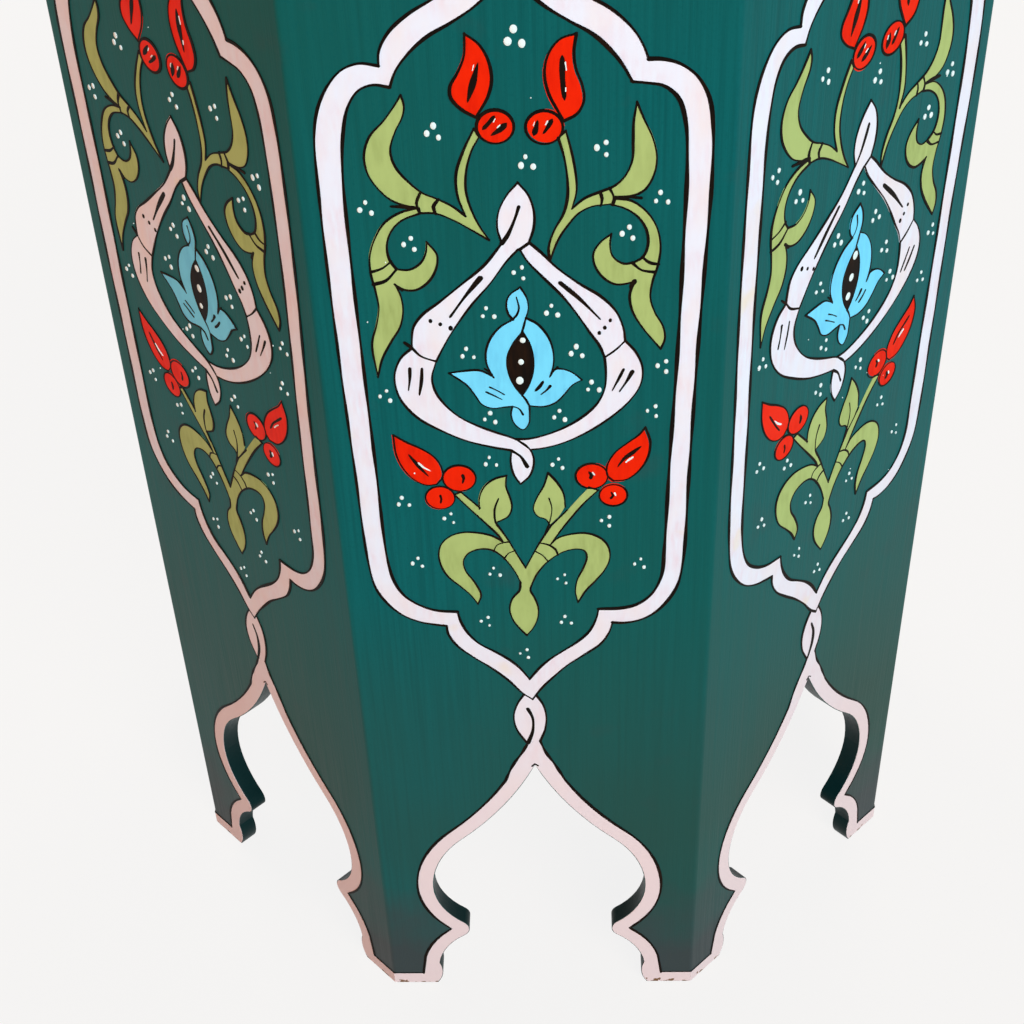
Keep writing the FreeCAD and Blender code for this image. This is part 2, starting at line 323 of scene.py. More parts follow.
LEFT_RIBBON = outline(
    [(4.5, 460), (6.3, 453), (6, 446.5), (4.3, 441)],
    [(0.3, 438)],
    [(-4, 433), (-10, 424), (-17, 415), (-23, 406), (-26.5, 400), (-31.5, 389.8)],
    [(-37, 392.3), (-40, 396)],
    [(-39.8, 400), (-38.8, 405.5), (-35.5, 410.5), (-29, 416), (-20, 424), (-12, 431.5), (-5.3, 440.6)],
    [(-6.7, 447), (-6, 453.5), (-3, 460), (1, 465)],
)
RIGHT_RIBBON = outline(
    [(8, 437), (14, 430), (22, 423), (29.5, 417.5), (35, 411), (37.8, 403.5), (38.5, 397.8)],
    [(35, 393.8), (31, 390.5)],
    [(29, 396), (26, 401), (21.5, 409), (16, 417.5), (9, 426), (3.5, 433), (1, 437.8)],
    [(4.5, 440.5)],
)
LOWER_LEFT_RIBBON = outline(
    [(-44.5, 391.5), (-47.3, 384), (-47, 376), (-44.5, 369.5), (-39.5, 363), (-32, 357.5), (-22, 352),
     (-12, 348.7), (-4.8, 347)],
    [(-5.3, 341), (-4.2, 334.5), (-1.8, 330)],
    [(1.8, 334), (3.6, 340), (3.2, 345), (0.8, 349.5), (-4, 352.9), (-11, 356), (-18, 359.5), (-24, 363.5),
     (-29, 369), (-32.5, 375.5), (-33.5, 382), (-31.5, 389.8)],
    [(-37, 392.3), (-40, 396)],
)
LOWER_RIGHT_RIBBON = outline(
    [(42.5, 392.5), (45, 385.5), (44.5, 378), (41, 371), (35, 364), (26, 356.5), (16, 350.7), (8, 348),
     (2.5, 347.2)],
    [(-3, 352.4)],
    [(2, 352.5), (9, 354.5), (17, 358.5), (24, 364), (28.5, 369.5), (31, 376), (31.5, 383), (31, 390.5)],
    [(35, 393.8), (38.5, 397.8)],
)
RING_LONG_SLITS = [
    [(-13.5, 426.3), (-19, 419), (-25, 410)],
    [(15, 423.6), (22, 416.5), (29, 408)],
]
RING_SLITS = [
    [(-41.5, 386.7), (-41.8, 382), (-42.6, 377)],
    [(-37, 386.3), (-37.5, 381), (-38.6, 374.8)],
    [(38, 384.8), (36, 380), (34, 375.5)],
    [(41.3, 383.8), (39.3, 379.5), (36.8, 375)],
]
RING_CURLS = [
    [(1, 455.2), (-0.3, 451), (-3, 444.3), (-5.3, 440.6)],
    [(-4.8, 346.8), (-1.5, 344), (1, 338.8)],
    [(-42.6, 398.4), (-40, 396)],
]
RING_SPOTS = [(-32.5, 408), (-29, 406.5), (-25.3, 404.7), (33, 407), (31, 403.8), (29, 401.5)]

BLUE_FLOWER = outline(
    [(2.8, 417.5), (3.3, 412.5), (2.3, 408.6)],
    [(6.5, 405.8), (10.3, 400), (12, 393.5), (12, 387.5), (10.8, 382.5)],
    [(12.5, 385.3), (16, 385.2), (19.5, 383.3), (22.5, 380.3)],
    [(19, 378), (16, 373.8), (12.5, 369.8), (8, 368), (2.6, 368.5)],
    [(2.6, 364.5), (2.2, 360), (0, 357), (-3, 359.5), (-4.4, 364), (-3.8, 368.3)],
    [(-7, 368), (-11.5, 367.5), (-15.3, 369.5), (-17.8, 374), (-20.5, 378.5), (-27, 384.3)],
    [(-21, 385.2), (-15.5, 385.3), (-10.5, 382.3)],
    [(-12.7, 388), (-12.8, 394), (-10.8, 400), (-7, 405), (-2.3, 408)],
    [(-4, 410.5), (-4.6, 414.5), (-3.5, 418.5), (0.6, 422)],
)
SEED = outline(
    [(-2.5, 397.5), (-4.9, 391), (-4.7, 384), (-2.8, 378), (0, 373.3)],
    [(2.5, 378), (4.3, 384.5), (4.6, 391), (3.4, 397.5), (1, 402.8)],
)
SEED_DOTS = [(0.9, 398.8), (0, 389), (-0.7, 380.4)]
FLOWER_LINES = [
    [(-0.8, 417.5), (-0.1, 413), (-1.2, 409.6), (-3.3, 407.6)],
    [(2.3, 408.6), (1.6, 405.6), (0.6, 402)],
    [(-0.3, 374), (1.3, 371.5), (2.6, 368.5)],
    [(-3.8, 368.3), (-1.5, 367.3), (0.1, 364.3)],
]
FLOWER_SLASHES = [
    [(-12, 377.5), (-9.5, 376), (-6.8, 374)],
    [(-13.5, 375.3), (-11, 373.8), (-7.8, 371.7)],
    [(-13.5, 386), (-12, 384.5), (-10.4, 382)],
    [(13.5, 386.2), (12, 384.5), (10.6, 382)],
]
FLOWER_SLITS = [
    [(7.8, 379.4), (6.8, 377.6), (5.3, 375.8)],
    [(10.6, 377.6), (9.3, 375.8), (7.4, 374)],
]

UP_BRANCH_LEFT = outline(
    [(-13, 448), (-15.6, 455), (-17, 462), (-16.5, 470), (-14.2, 478), (-11.5, 483)],
    [(-13.2, 486)],
    [(-17, 478), (-20, 469), (-20, 460.5), (-17.6, 452)],
    [(-22, 456), (-27, 459), (-32, 461.5), (-36, 465.3), (-40.5, 471.5), (-42, 478), (-40, 485),
     (-36.8, 491.5), (-36.2, 495.5), (-37, 499)],
    [(-39.5, 495), (-43.5, 489.5), (-48.5, 484), (-51, 477), (-50.5, 470), (-47.8, 464.3), (-43.5, 459.3),
     (-38, 456.5), (-33.8, 455.6)],
    [(-33.5, 453.6)],
    [(-28, 453.3), (-22, 450.5), (-16, 446.5), (-9.7, 442)],
)
CURL_BRANCH_LEFT = outline(
    [(-34.2, 455.5)],
    [(-40, 454), (-46, 450), (-50, 443.5), (-52.4, 436), (-52.6, 429), (-51.5, 421.5), (-50.9, 414),
     (-52.2, 407), (-54.6, 398), (-53.6, 383)],
    [(-51.5, 391), (-47.5, 399), (-43.8, 405.5), (-42.2, 412.5), (-42.6, 419), (-44.2, 424)],
    [(-41, 421.8), (-37, 421.6), (-32.2, 425), (-29, 431), (-28.6, 436.5), (-31.8, 441.7)],
    [(-32.3, 437.5), (-34.5, 433), (-38.7, 430.2), (-43.3, 430.5)],
    [(-45.5, 434.5), (-46, 440.5), (-44, 446.3), (-40, 450.7), (-33.5, 453.5)],
)
UP_BRANCH_RIGHT = outline(
    [(11.2, 438.5), (13.2, 445.5), (16.5, 452), (18.1, 459), (18, 467.5), (17, 475), (15.2, 482)],
    [(17.8, 484.5)],
    [(19.3, 478), (20.7, 470), (21.2, 461.5), (19.6, 454.3)],
    [(24, 458.3), (30, 461), (34.3, 463), (38, 467), (40.3, 473), (40.5, 480), (40.6, 487.5),
     (41.6, 494.8)],
    [(44, 488.5), (47, 481.5), (48.6, 474), (47.7, 467), (44.7, 461.3), (40.5, 459), (34.5, 458.6)],
    [(34, 456)],
    [(31, 455.6), (26.5, 455), (22, 452.5), (18, 447.5), (14.5, 441.5), (11.5, 433)],
)
CURL_BRANCH_RIGHT = outline(
    [(34.5, 458)],
    [(40, 457), (45.2, 452.8), (49, 446.5), (50.6, 438), (49.7, 430), (48, 423.5), (47.4, 416.5),
     (49.2, 410), (52.2, 404), (53, 398.5), (51.6, 394)],
    [(49, 397.5), (44.5, 404), (41, 411), (40, 418), (41.6, 423.8)],
    [(39, 422.9), (35, 422.6), (31, 425), (27.6, 430.3), (27, 436), (29.2, 440.2), (33.2, 443.7)],
    [(32.8, 438.5), (34, 434), (37.8, 431.2), (41.5, 431.8)],
    [(44.5, 434), (46.2, 439), (45.5, 445.3), (42.5, 450.5), (38, 454), (33.5, 455.6)],
)
BRANCH_RINGS = [
    [(-32.8, 461.8), (-34.4, 457.5), (-33.5, 453.5)],
    [(-26.8, 458.8), (-28.6, 456), (-28, 453.3)],
    [(-52.6, 429.5), (-48.5, 431), (-45, 433.8)],
    [(-52, 424.3), (-47.5, 425.8), (-43.3, 430.5)],
    [(29.3, 460.7), (30, 458), (29.6, 455.4)],
    [(32.6, 462), (34, 458.7), (33.6, 455.6)],
    [(44.4, 433.8), (46.8, 431.6), (50, 430.8)],
    [(41, 431.3), (44, 428.5), (48.8, 427.5)],
]
BRANCH_KNOTS = [
    [(-43, 456.4), (-38.5, 456.1), (-34, 455.6)],
    [(43.4, 458), (39, 458.4), (34.6, 458.3)],
    [(-44.2, 424), (-42, 421.7)],
    [(41.6, 423.8), (40.4, 421.5)],
]

SPRAY = outline(
    [(-4.8, 294), (-8, 301.5), (-12.3, 310)],
    [(-18.3, 318)],
    [(-25.5, 326.3)],
    [(-28, 325)],
    [(-22.3, 317.5), (-16.3, 309.8), (-11.3, 303), (-9.8, 299.8)],
    [(-14, 303), (-20, 304.8), (-26, 305), (-31, 303), (-34.6, 299), (-36, 293.5), (-35.3, 287),
     (-32.8, 281), (-28, 275.5), (-24, 270.5), (-21.3, 265.5)],
    [(-19.8, 270.5), (-22.3, 278), (-25.5, 284), (-26.2, 289.5), (-24, 293.8), (-19.5, 296), (-15, 295.7),
     (-11.3, 293), (-8, 288.5), (-5, 282.5), (-3.3, 277.5)],
    [(-3.8, 273), (-6.8, 268.5), (-8.2, 262.5), (-7, 256), (-4.2, 250.8), (-1.5, 247)],
    [(1.3, 251.3), (3.3, 257), (3.6, 263), (2.3, 268.5), (0.6, 273), (1.6, 277)],
    [(3.2, 281.3), (7, 287.5), (11.5, 292), (15, 294.3), (20, 295.5), (23, 294.5), (24, 291), (22.5, 285),
     (20, 278.5), (19.2, 271.5), (20.2, 265.8)],
    [(23.5, 272.5), (27.5, 278), (31.5, 284.5), (33.3, 291), (32.2, 297.5), (29, 301.5), (24, 303.8),
     (18, 303.5), (12.5, 301.5), (9.5, 298.3)],
    [(13, 304.5), (18, 312.5), (23, 319.8), (28.5, 326.3)],
    [(25, 328)],
    [(21, 322.8), (16.3, 316.2)],
    [(9.8, 308.2)],
    [(5, 299), (-1, 285.5)],
)
SPRAY_JOINED = (1, 13)
LEAF_LEFT = outline(
    [(-18.2, 323.5), (-15.8, 329.3), (-11.8, 332.8), (-7.2, 334.3)],
    [(-7.6, 329), (-6.2, 323), (-5.6, 318), (-7.2, 313.3), (-12.3, 310)],
    [(-16, 314), (-18.5, 317.5)],
)
LEAF_RIGHT = outline(
    [(7.8, 311.5), (4.5, 313.2), (2.9, 317), (4.5, 323), (7.3, 329), (9, 335.5)],
    [(12.5, 330.5), (15, 324.5), (15.5, 318)],
    [(13, 313), (9.3, 308.5)],
)
LEAF_JOINED = (2,)
SPRAY_VEINS = [
    [(-10.8, 322.5), (-12.4, 317.5), (-12.3, 310), (-10.4, 306)],
    [(9.2, 322.5), (10.2, 317.5), (9.4, 311), (7.4, 304)],
]
SPRAY_RINGS = [
    [(-13.7, 294.7), (-12.3, 298), (-9.5, 299.4), (-7.2, 299.8)],
    [(-9.6, 290.5), (-7.8, 293.5), (-5, 295)],
    [(5, 299), (8.7, 297.8), (11.5, 295), (12.2, 292.4)],
    [(3, 294.5), (6, 292.3), (8.2, 288.8)],
]

BUD_LOW_LEFT = outline(
    [(-45, 351.5), (-40, 348.5), (-35.2, 344.5), (-32.6, 339.8), (-32, 334.5), (-34.5, 330.5)],
    [(-38.5, 330), (-43, 332.5), (-47, 338), (-49.5, 345.5), (-50, 355.3)],
)
BUD_LOW_RIGHT = outline(
    [(48.6, 350), (47.5, 342), (44, 335.5), (39.5, 331.6), (34.5, 331)],
    [(32.3, 333.5), (32, 338.5), (35, 345), (40, 350), (44, 353.5), (46.6, 357.3)],
)
LOW_FLOWERS = {
    "buds": (BUD_LOW_LEFT, BUD_LOW_RIGHT),
    "berries": [(-25.7, 333.3, 6.5), (-33.7, 323.5, 5.8), (26, 333.5, 6.3), (34.5, 323.6, 5.5)],
    "bud_slits": [
        [(-44.5, 345.2), (-42, 341), (-40, 337.8), (-38, 335)],
        [(44.6, 347.7), (41.5, 344.8), (38.5, 342), (36.4, 338.6)],
    ],
    "berry_slits": [
        [(-24.3, 334.8), (-24, 333), (-24.4, 331.4)],
        [(-33.6, 324.5), (-33.3, 322.8), (-33.6, 321.2)],
        [(25.2, 335.4), (26, 334.2), (25.6, 332.6)],
        [(33.8, 324.9), (34.4, 323.5), (33.6, 322.2)],
    ],
    "lights": [
        [(-41.2, 341.4), (-39.2, 339), (-37, 337.5)],
        [(41.9, 342.8), (40.5, 341.7), (39.3, 340.4)],
        [(26.4, 335.4), (27, 334.4)],
        [(35, 324.8), (35.4, 323.6)],
    ],
    "line": 0.8,
    "slit": 1.5,
    "berry_slit": 1.5,
    "light": 0.85,
}
BUD_TOP_LEFT = outline(
    [(-10.3, 516.8), (-7.4, 511), (-6.5, 504), (-8, 497.8), (-12.3, 490.3)],
    [(-17, 493.3), (-20.4, 497.8), (-20.3, 502), (-17.8, 506.5), (-15.3, 512.5), (-14.7, 520.5)],
)
BUD_TOP_RIGHT = outline(
    [(16.3, 518), (12.5, 513), (11, 506), (12.2, 498.7), (15, 492.5), (17.2, 488.3)],
    [(21.7, 491), (24, 496), (23.5, 501.3), (21.4, 507.5), (20.8, 513.5), (21.6, 519.8)],
)
TOP_FLOWERS = {
    "buds": (BUD_TOP_LEFT, BUD_TOP_RIGHT),
    "berries": [(-6, 486.6, 6.3), (10.5, 486, 6.3)],
    "bud_slits": [
        [(-11, 509.3), (-12.3, 504.5), (-14.6, 496.8)],
        [(16.9, 511), (16.9, 504), (17.4, 497.3)],
    ],
    "berry_slits": [
        [(-6.6, 490), (-8, 488.2), (-9.6, 486.4)],
        [(-2.8, 487.2), (-4.6, 485.4), (-6.6, 484)],
        [(8.2, 487.8), (7.8, 486), (7.2, 484)],
        [(12.9, 488.4), (11.9, 486.4), (10.6, 484.4)],
    ],
    "lights": [
        [(-12.2, 509.4), (-12.7, 507.6)],
        [(17.9, 509.8), (18.2, 507)],
        [(17.9, 500.6), (17.9, 499.2)],
        [(-5.9, 489.6), (-6.5, 488.5)],
        [(-4.3, 487.3), (-5.3, 486.4)],
        [(7.3, 488.2), (6.9, 486.8)],
        [(11.7, 488.4), (11, 487.1)],
    ],
    "line": 1.15,
    "slit": 2.35,
    "berry_slit": 2.3,
    "light": 0.5,
}

STAR_OUTER = [(-51, 123.5), (-43, 128), (-36, 136), (-29, 146), (-20, 151), (-10, 156), (0, 167)]
STAR_INNER = [(-47.5, 115), (-38, 121), (-30, 130), (-24, 139), (-16, 143.5), (-7, 148), (0, 155)]

TOP_DOTS = [(1.2, 521.9, 1.5), (-0.8, 517.6, 1.4), (3.8, 516.8, 1.15)]
DOT_CLUSTER = ((-2.1, -0.3), (0.4, 2.4), (1.7, -2.1))
CLUSTER_TURN = 0.4
CLUSTERS = [
    (-27.1, 485), (4.2, 472.6), (30.3, 477.7), (-52.3, 455.8), (50.5, 457.7), (-37.9, 441),
    (39.1, 444), (0.6, 428.2), (-11.5, 410.8), (11.8, 411.4), (-19.7, 392.9), (20.6, 393.1), (52.7, 386),
    (-51.5, 374.1), (26.6, 376.8), (-12.5, 362.8), (13.9, 363.4), (49.3, 365.1), (-13.2, 341.2),
    (12.9, 339.9), (-48.5, 321.3), (-30.6, 312.7), (31.9, 310.2), (-44.9, 289), (-13.8, 283.1), (14, 279.1),
    (45.4, 287.2), (-18.3, 255.4), (15, 255.3), (-2.5, 236.1),
]


class PaintLayer:
    """Everything in one colour on one face, gathered as the points and faces of one mesh."""

    def __init__(self):
        self.points = []
        self.faces = []

    def add(self, points, faces):
        start = len(self.points)
        self.points += points
        self.faces += [[start + i for i in face] for face in faces]


def board_place(turn, seed, wobble):
    """A function that puts a point of the drawing on a board, with the small errors of a hand."""
    rotation = Matrix.Rotation(turn, 3, "Z")
    hand = random.Random(seed)
    phases = [hand.uniform(0, math.tau) for _ in range(4)]

    def place(u, z, lift):
        fade = wobble * min(1, max(0, (z - STEADY_BELOW) / (FREE_ABOVE - STEADY_BELOW)))
        ripple = (u + z) / HAND_RIPPLE
        across = math.sin(z / HAND_WAVE + phases[0]) + RIPPLE_SHARE * math.sin(ripple + phases[1])
        along = math.sin(u / HAND_WAVE + phases[2]) + RIPPLE_SHARE * math.sin(ripple + phases[3])
        return rotation @ Vector((u + fade * across, -APOTHEM - lift, z + fade * along)) * MM

    return place


def top_place(turn=0, scale=1, middle=(0, 0), start=0):
    """A function that puts a point of the drawing on the table top, scaled and then turned about its middle.

    middle is the drawing's point that comes to the distance start from the middle of the top.
    """
    rotation = Matrix.Rotation(turn, 3, "Z")

    def place(u, z, lift):
        flat = Vector(((u - middle[0]) * scale, (z - middle[1]) * scale + start, 0))
        return (rotation @ flat + Vector((0, 0, TOP_HEIGHT + lift))) * MM

    return place


def even(t):
    """The share of its width that a stroke has at t, which runs from 0 to 1 along it: here all of it."""
    return 1


def thinning(t):
    """A stroke that grows thinner."""
    return SLIT_TAPER[0] - SLIT_TAPER[1] * t


def lens(t):
    """A stroke that is widest in its middle."""
    return LENS_TAPER[0] + LENS_TAPER[1] * math.sin(math.pi * t)


def round_end(end, inner, width):
    """Points just beyond the end of a stroke, each with its share of the width."""
    return [(between(end, inner, 0, math.dist(end, inner), -width * s), share) for s, share in END_SHARES]


def tube_faces(rings, corners, closed):
    """Faces of a tube of rings, joined into a ring itself or closed by its two ends."""
    faces = []
    for i in range(rings if closed else rings - 1):
        a = i * corners
        b = (i + 1) % rings * corners
        for j in range(corners):
            k = (j + 1) % corners
            faces.append([a + j, a + k, b + k, b + j])
    if not closed:
        faces += [list(reversed(range(corners))), [(rings - 1) * corners + j for j in range(corners)]]
    return faces


class Pen:
    """Draws on one face: filled shapes, brush lines and raised dots."""

    def __init__(self, place, layers, seed, scale=1):
        self.place = place
        self.layers = layers
        self.random = random.Random(seed)
        self.scale = scale

    def fill(self, colour, loops, lift):
        """A flat patch of paint inside the first loop and outside the others."""
        ring = [point for loop in loops for point in loop]
        count = len(ring)
        triangles = tessellate_polygon([[Vector((u, z, 0)) for u, z in loop] for loop in loops])
        points = [self.place(u, z, lift) for u, z in ring] + [self.place(u, z, -SUNK) for u, z in ring]
        faces = [list(t) for t in triangles] + [[count + i for i in reversed(t)] for t in triangles]
        start = 0
        for loop in loops:
            for i in range(len(loop)):
                a = start + i
                b = start + (i + 1) % len(loop)
                faces.append([a, b, count + b, count + a])
            start += len(loop)
        self.layers[colour].add(points, faces)

    def line(self, points, width, profile=even, colour="black", lift=LINE_LIFT):
        """A brush stroke. It has rounded ends, unless it comes back to its start."""
        width *= self.random.uniform(*STROKE_RANGE) / self.scale ** 0.5
        closed = math.dist(points[0], points[-1]) < SAME_POINT
        path = [(point, 1) for point in points[closed:]]
        if not closed:
            path = round_end(points[0], points[1], width) + path
            path += round_end(points[-1], points[-2], width)[::-1]
        count = len(path)
        length = sum(math.dist(a, b) for a, b in zip(points, points[1:]))
        waves = math.tau * max(1, round(length / STROKE_SWELL_LENGTH))
        phase = self.random.uniform(0, math.tau)
        lift += self.random.uniform(0, LEVEL_STEP / 2)
        rings = []
        for i, (point, share) in enumerate(path):
            behind = path[i - 1 if closed else max(i - 1, 0)][0]
            ahead = path[(i + 1) % count if closed else min(i + 1, count - 1)][0]
            span = math.dist(ahead, behind)
            t = i / (count - 1)
            half = width / 2 * share * profile(t) * (1 + STROKE_SWELL * math.sin(waves * t + phase))
            across = ((behind[1] - ahead[1]) / span * half, (ahead[0] - behind[0]) / span * half)
            for side, height in STROKE_SECTION:
                beside = (point[0] + across[0] * side, point[1] + across[1] * side)
                rings.append(self.place(*beside, height + lift))
        self.layers[colour].add(rings, tube_faces(count, len(STROKE_SECTION), closed))

    def lines(self, strokes, width, profile=even, colour="black", lift=LINE_LIFT):
        for points in strokes:
            self.line(smooth(points), width, profile, colour, lift)

    def shape(self, colour, sides, width=MOTIF_LINE, level=0, joined=(), slip=HAND_SLIP):
        """A filled outline with a black line along its sides, but not along those that join another shape.

        The fill slips a little from under its line, as it does when they are painted one after the other.
        """
        du, dz = (self.random.uniform(-slip, slip) for _ in "uz")
        self.fill(colour, [[(u + du, z + dz) for u, z in loop_of(sides)]], PAINT_LIFT + level * LEVEL_STEP)
        for i, side in enumerate(sides):
            if i not in joined:
                self.line(side, width)

    def dot(self, u, z, radius, colour="dots", lift=LINE_LIFT):
        """A raised drop of paint, never quite round."""
        radius *= self.random.uniform(*DOT_RANGE)
        tall = radius * DOT_TALL * self.random.uniform(*DOT_RANGE) ** 0.5
        rings = [(1, -SUNK)] + [(share, lift + rise) for share, rise in DOT_SECTION]
        points = []
        for share, height in rings:
            for i in range(DOT_SIDES):
                turn = math.tau * i / DOT_SIDES
                points.append(self.place(u + radius * share * math.cos(turn),
                                         z + tall * share * math.sin(turn), height))
        self.layers[colour].add(points, tube_faces(len(rings), DOT_SIDES, closed=False))

    def cluster(self, u, z, radius=LOW_DOT_RADIUS):
        """White dots close together."""
        turn = self.random.uniform(-CLUSTER_TURN, CLUSTER_TURN)
        for spot in DOT_CLUSTER:
            du, dz = turned(spot, turn)
            self.dot(u + du, z + dz, radius)


def arch_edge():
    """The edge of the arch on the outside of a board, from the right foot over its point to the left foot."""
    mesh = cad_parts["panel_front"].data
    rim = set()
    for face in mesh.polygons:
        corners = [[round(value / MM, 3) for value in mesh.vertices[i].co] for i in face.vertices]
        if all(abs(depth + APOTHEM) < SAME_PLANE for _, depth, _ in corners):
            flat = [(u, z) for u, _, z in corners]
            rim ^= {frozenset(side) for side in zip(flat, flat[1:] + flat[:1])}
    beside = {}
    for a, b in map(tuple, rim):
        beside.setdefault(a, []).append(b)
        beside.setdefault(b, []).append(a)
    start = min(p for p in beside if p[0] > 0 and p[1] == 0)
    chain = [start, max(beside[start], key=lambda p: p[1])]
    while chain[-1][1] > 0:
        chain.append(next(p for p in beside[chain[-1]] if p != chain[-2]))
    return chain


def meeting(a, b, c, d):
    """Where the line through a and b meets the line through c and d."""
    slant = (b[0] - a[0]) * (d[1] - c[1]) - (b[1] - a[1]) * (d[0] - c[0])
    share = ((c[0] - a[0]) * (d[1] - c[1]) - (c[1] - a[1]) * (d[0] - c[0])) / slant
    return between(a, b, 0, 1, share)


def set_in(edge, distance):
    """A line beside the edge, on its right and the distance away, with a corner at each sharp bend."""
    runs = [[]]
    for i, point in enumerate(edge):
        ahead = edge[min(i + 1, len(edge) - 1)]
        behind = edge[max(i - 1, 0)]
        span = math.dist(ahead, behind)
        moved = (point[0] + (ahead[1] - behind[1]) / span * distance,
                 point[1] - (ahead[0] - behind[0]) / span * distance)
        if min(math.dist(moved, other) for other in edge) > distance - SET_IN_SLACK:
            runs[-1].append(moved)
        else:
            runs.append([])
    line, *rest = [run for run in runs if len(run) > 1]
    for run in rest:
        line = line + [meeting(line[-2], line[-1], run[1], run[0])] + run
    return line


def draw_arch(pen):
    """The white band round the arch and along the bottom of the feet, and the loop at its point."""
    edge = arch_edge()
    apex = max(range(len(edge)), key=lambda i: edge[i][1])
    right, left = ([p for p in set_in(half, ARCH_BAND) if TOE_TOP < p[1] < ARCH_BAND_TOP]
                   for half in (edge[:apex + 1], edge[apex:]))
    right = [(FOOT_LINE_END, FOOT_BAND)] + right + smooth([right[-1], *NECK_RIGHT])[1:]
    left = smooth([LINK_LINE[-1], *NECK_LEFT, left[0]])[:-1] + left + [(-FOOT_LINE_END, FOOT_BAND)]
    corner = HALF_BOARD + CORNER_LAP
    band = [(u, max(z, FLOOR_CLEARANCE)) for u, z in set_in(edge, EDGE_INSET)]
    foot = [(-corner, FLOOR_CLEARANCE), (-corner, FOOT_BAND)]
    loop = band + foot + left[::-1] + right[::-1] + [(-u, z) for u, z in foot[::-1]]
    pen.fill("white", [loop], PAINT_LIFT)
    pen.fill("white", [loop_of(LINK_LOOP)], PAINT_LIFT + LEVEL_STEP)
    pen.line(left, ARCH_LINE)
    pen.line(right, ARCH_LINE)
    for end in (left[-1], right[0]):
        pen.line([end, (math.copysign(corner, end[0]), FOOT_BAND)], EDGE_LINE)
    pen.line(LINK_LOOP[0], ARCH_LINE)
    pen.line(LINK_LOOP[2], ARCH_LINE)
    pen.line(smooth(LINK_LINE), CURL_LINE)
    tip = edge[apex][1]
    pen.line([(u, tip + dz) for u, dz in APEX_NOTCH], FINE_LINE)


def draw_frame(pen, outer, inner):
    """A white band between two outlines, with a black line on each."""
    pen.fill("white", [loop_of(outer), loop_of(inner)], PAINT_LIFT)
    for side in outer + inner:
        pen.line(side, BAND_LINE)


def draw_ring(pen):
    """The white ribbon that is knotted round the blue flower."""
    pen.shape("white", RIGHT_RIBBON)
    pen.shape("white", LOWER_RIGHT_RIBBON)
    pen.shape("white", LEFT_RIBBON, level=1)
    pen.shape("white", LOWER_LEFT_RIBBON, level=1)
    pen.lines(RING_LONG_SLITS, LONG_SLIT, thinning)
    pen.lines(RING_SLITS, SHORT_SLIT, thinning)
    pen.lines(RING_CURLS, CURL_LINE)
    for u, z in RING_SPOTS:
        pen.dot(u, z, SPOT_RADIUS, "black")


def draw_blue_flower(pen):
    """The blue flower with its black seed."""
    pen.shape("blue", BLUE_FLOWER, FINE_LINE)
    pen.shape("black", SEED, FINE_LINE, level=2)
    pen.lines(FLOWER_LINES, FINE_LINE)
    pen.lines(FLOWER_SLASHES, FINE_LINE, thinning)
    pen.lines(FLOWER_SLITS, SHORT_SLIT, thinning)
    for u, z in SEED_DOTS:
        pen.dot(u, z, SEED_DOT_RADIUS)


def draw_branches(pen):
    """The two leafy branches above the ring."""
    for sides in (UP_BRANCH_LEFT, UP_BRANCH_RIGHT):
        pen.shape("leaf", sides)
    for sides in (CURL_BRANCH_LEFT, CURL_BRANCH_RIGHT):
        pen.shape("leaf", sides, level=1)
    pen.lines(BRANCH_RINGS, KNOT_LINE)
    pen.lines(BRANCH_KNOTS, CURL_LINE)


def draw_buds(pen, flowers):
    """Red buds and berries, with black slits and small white lights."""
    for sides in flowers["buds"]:
        pen.shape("red", sides, flowers["line"], slip=BUD_SLIP)
    for u, z, radius in flowers["berries"]:
        pen.shape("red", circle(u, z, radius), flowers["line"], level=1, slip=BUD_SLIP)
    pen.lines(flowers["bud_slits"], flowers["slit"], lens)
    pen.lines(flowers["berry_slits"], flowers["berry_slit"], lens)
    pen.lines(flowers["lights"], flowers["light"], lens, "dots", HIGHLIGHT_LIFT)


def draw_spray(pen):
    """The spray of leaves below the ring, with its red flowers."""
    pen.shape("leaf", SPRAY, SPRAY_LINE, joined=SPRAY_JOINED)
    for leaf in (LEAF_LEFT, LEAF_RIGHT):
        pen.shape("leaf", leaf, SPRAY_LINE, level=1, joined=LEAF_JOINED)
    pen.lines(SPRAY_VEINS, SPRAY_LINE)
    pen.lines(SPRAY_RINGS, FINE_LINE)
    draw_buds(pen, LOW_FLOWERS)


def draw_specks(pen):
    """Tiny splashes of white paint."""
    for _ in range(SPECKS):
        u = pen.random.uniform(-HALF_BOARD, HALF_BOARD) * SPECK_SPREAD
        z = pen.random.uniform(FREE_ABOVE, BOARD_TOP)
        pen.dot(u, z, pen.random.uniform(*SPECK_RADII), lift=SPECK_LIFT)


def draw_board(pen):
    """Everything that is painted on one board."""
    draw_arch(pen)
    draw_frame(pen, CARTOUCHE_OUTER, CARTOUCHE_INNER)
    draw_ring(pen)
    draw_blue_flower(pen)
    draw_branches(pen)
    draw_spray(pen)
    draw_buds(pen, TOP_FLOWERS)
    for u, z, radius in TOP_DOTS:
        pen.dot(u, z, radius)
    low, high = (limit(z for _, z in CLUSTERS) for limit in (min, max))
    for u, z in CLUSTERS:
        share = (z - low) / (high - low)
        pen.cluster(u, z, LOW_DOT_RADIUS + (HIGH_DOT_RADIUS - LOW_DOT_RADIUS) * share)
    draw_specks(pen)


def octagon(apothem):
    """The outline of an octagon with a flat side to the front."""
    radius = apothem / math.cos(FACE_TURN / 2)
    corners = [turned((0, -radius), FACE_TURN * (k + 0.5)) for k in range(len(SIDES))]
    return [[a, b] for a, b in zip(corners, corners[1:] + corners[:1])]


